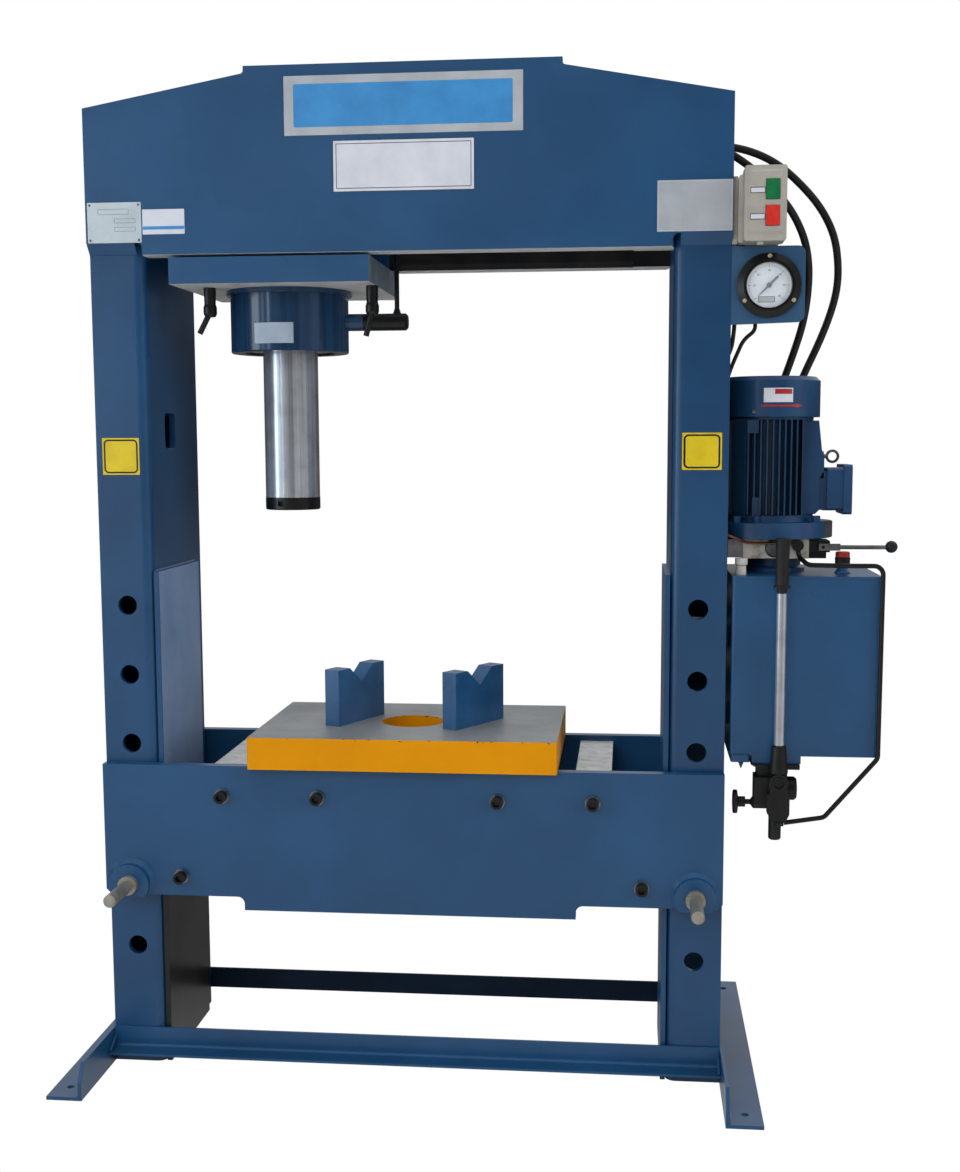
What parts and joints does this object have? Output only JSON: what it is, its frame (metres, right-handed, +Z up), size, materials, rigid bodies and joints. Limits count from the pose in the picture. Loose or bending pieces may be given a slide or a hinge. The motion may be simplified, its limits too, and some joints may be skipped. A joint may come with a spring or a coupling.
{
  "type": "hydraulic workshop press",
  "caption": "Floor-standing hydraulic workshop press with a travelling cylinder, pinned bed, table with V blocks and a side-hung power unit with hand pump",
  "frame": {"origin": "floor level, on the centre of the four floor anchor holes, which is the middle of the welded frame", "axes": "+X to the right along the crown towards the power unit, +Y from the front to the back, +Z up"},
  "size_m": [1.6115, 0.73, 1.95],
  "materials": {
    "frame_blue": "gloss enamel on welded steel",
    "motor_blue": "satin enamel on cast and sheet metal",
    "table_yellow": "enamel sides with a ground steel top",
    "block_steel": "gloss enamel on flame-cut steel",
    "zinc_steel": "galvanised steel",
    "black_steel": "blackened steel",
    "chrome": "hard chrome",
    "cast_black": "black painted casting",
    "steel": "turned steel",
    "light_grey": "light grey powder coat",
    "green_button": "moulded",
    "red_button": "moulded",
    "black_plastic": "moulded",
    "dial_white": "printed disc",
    "needle_black": "thin sheet",
    "lens": "clear lens",
    "alloy": "machined block",
    "breather_black": "moulded cap",
    "plug_white": "moulded plug",
    "copper": "drawn tube",
    "hose_rubber": "smooth hose cover"
  },
  "bodies": {
    "frame": {"column_left": "frame_blue", "column_right": "frame_blue", "crown_front_plate": "frame_blue", "crown_rear_plate": "frame_blue", "crown_front_rail": "frame_blue", "crown_rear_rail": "frame_blue", "foot_left": "frame_blue", "foot_right": "frame_blue", "tie_bar_front": "frame_blue", "tie_bar_rear": "frame_blue", "bed_front_beam": "frame_blue", "bed_rear_beam": "frame_blue", "bed_spacers": "zinc_steel", "bed_bolts": "zinc_steel", "table_plate": "table_yellow", "v_block_left": "block_steel", "v_block_right": "block_steel", "control_box": "light_grey", "control_bracket": "black_steel", "gauge_plate": "frame_blue", "gauge_case": "black_steel", "gauge_dial": "dial_white", "gauge_glass": "lens", "tank": "frame_blue", "manifold": "alloy", "bell_housing": "motor_blue", "motor_body": "motor_blue", "fan_cover": "motor_blue", "terminal_box": "motor_blue", "directional_valve": "black_steel", "breather": "breather_black", "filler_plug": "plug_white", "copper_pipe": "copper", "steel_pipe": "black_steel", "pump_body": "cast_black", "hose_fittings": "black_steel", "hose_outer": "hose_rubber", "hose_inner": "hose_rubber", "control_cable": "hose_rubber"},
    "carriage": {"carriage_plate": "frame_blue", "cylinder_barrel": "frame_blue", "lock_collar": "frame_blue", "gland_ring": "steel", "port_fitting": "black_steel"},
    "left_wheels": {"wheelset_left": "steel"},
    "right_wheels": {"wheelset_right": "steel"},
    "ram": {"ram_rod": "chrome", "ram_tip": "black_steel"},
    "left_clamp": {"clamp_lever_left": "black_steel"},
    "right_clamp": {"clamp_lever_right": "black_steel"},
    "left_pin": {"bed_pin_left": "steel"},
    "right_pin": {"bed_pin_right": "steel"},
    "start_button": {"button_green": "green_button"},
    "stop_button": {"button_red": "red_button"},
    "needle": {"gauge_needle": "needle_black"},
    "fan": {"motor_fan": "black_plastic"},
    "valve_handle": {"valve_lever": "chrome"},
    "pump_handle": {"pump_lever": "chrome"},
    "release_wheel": {"release_knob": "cast_black"}
  },
  "joints": [
    {"name": "carriage_slide", "type": "slide", "parent": "frame", "child": "carriage", "axis": [1, 0, 0], "range_m": [-0.045, 0.515]},
    {"name": "left_wheels_roll", "type": "hinge", "parent": "carriage", "child": "left_wheels", "pos_m": [-0.415, 0, 1.728], "axis": [0, 1, 0], "continuous": true},
    {"name": "right_wheels_roll", "type": "hinge", "parent": "carriage", "child": "right_wheels", "pos_m": [-0.105, 0, 1.728], "axis": [0, 1, 0], "continuous": true},
    {"name": "ram_slide", "type": "slide", "parent": "carriage", "child": "ram", "axis": [0, 0, 1], "range_m": [-0.1, 0.24]},
    {"name": "left_clamp_turn", "type": "hinge", "parent": "carriage", "child": "left_clamp", "pos_m": [-0.393, -0.11, 1.51], "axis": [0, 0, 1], "range_deg": [-60, 60]},
    {"name": "right_clamp_turn", "type": "hinge", "parent": "carriage", "child": "right_clamp", "pos_m": [-0.072, -0.11, 1.51], "axis": [0, 0, 1], "range_deg": [-60, 60]},
    {"name": "left_pin_slide", "type": "slide", "parent": "frame", "child": "left_pin", "axis": [0, -1, 0], "range_m": [0, 0.43]},
    {"name": "right_pin_slide", "type": "slide", "parent": "frame", "child": "right_pin", "axis": [0, -1, 0], "range_m": [0, 0.43]},
    {"name": "start_button_press", "type": "slide", "parent": "frame", "child": "start_button", "axis": [0, 1, 0], "range_m": [0, 0.004], "stiffness_N_per_m": 300},
    {"name": "stop_button_press", "type": "slide", "parent": "frame", "child": "stop_button", "axis": [0, 1, 0], "range_m": [0, 0.004], "stiffness_N_per_m": 300},
    {"name": "needle_turn", "type": "hinge", "parent": "frame", "child": "needle", "pos_m": [0.678, -0.176, 1.5365], "axis": [0, 1, 0], "range_deg": [0, 270]},
    {"name": "fan_spin", "type": "hinge", "parent": "frame", "child": "fan", "pos_m": [0.697, -0.02, 1.33], "axis": [0, 0, 1], "continuous": true},
    {"name": "valve_handle_tilt", "type": "hinge", "parent": "frame", "child": "valve_handle", "pos_m": [0.793, -0.122, 1.051], "axis": [0, 1, 0], "range_deg": [-12, 12]},
    {"name": "pump_handle_swing", "type": "hinge", "parent": "frame", "child": "pump_handle", "pos_m": [0.7095, -0.2, 0.611], "axis": [0, 1, 0], "range_deg": [0, 60]},
    {"name": "release_wheel_turn", "type": "hinge", "parent": "frame", "child": "release_wheel", "pos_m": [0.64, -0.175, 0.5666], "axis": [1, 0, 0], "range_deg": [0, 180]}
  ],
  "couplings": [
    {"joint": "left_wheels_roll", "follows": "carriage_slide", "rad_per_m": 33.333},
    {"joint": "right_wheels_roll", "follows": "carriage_slide", "rad_per_m": 33.333}
  ]
}
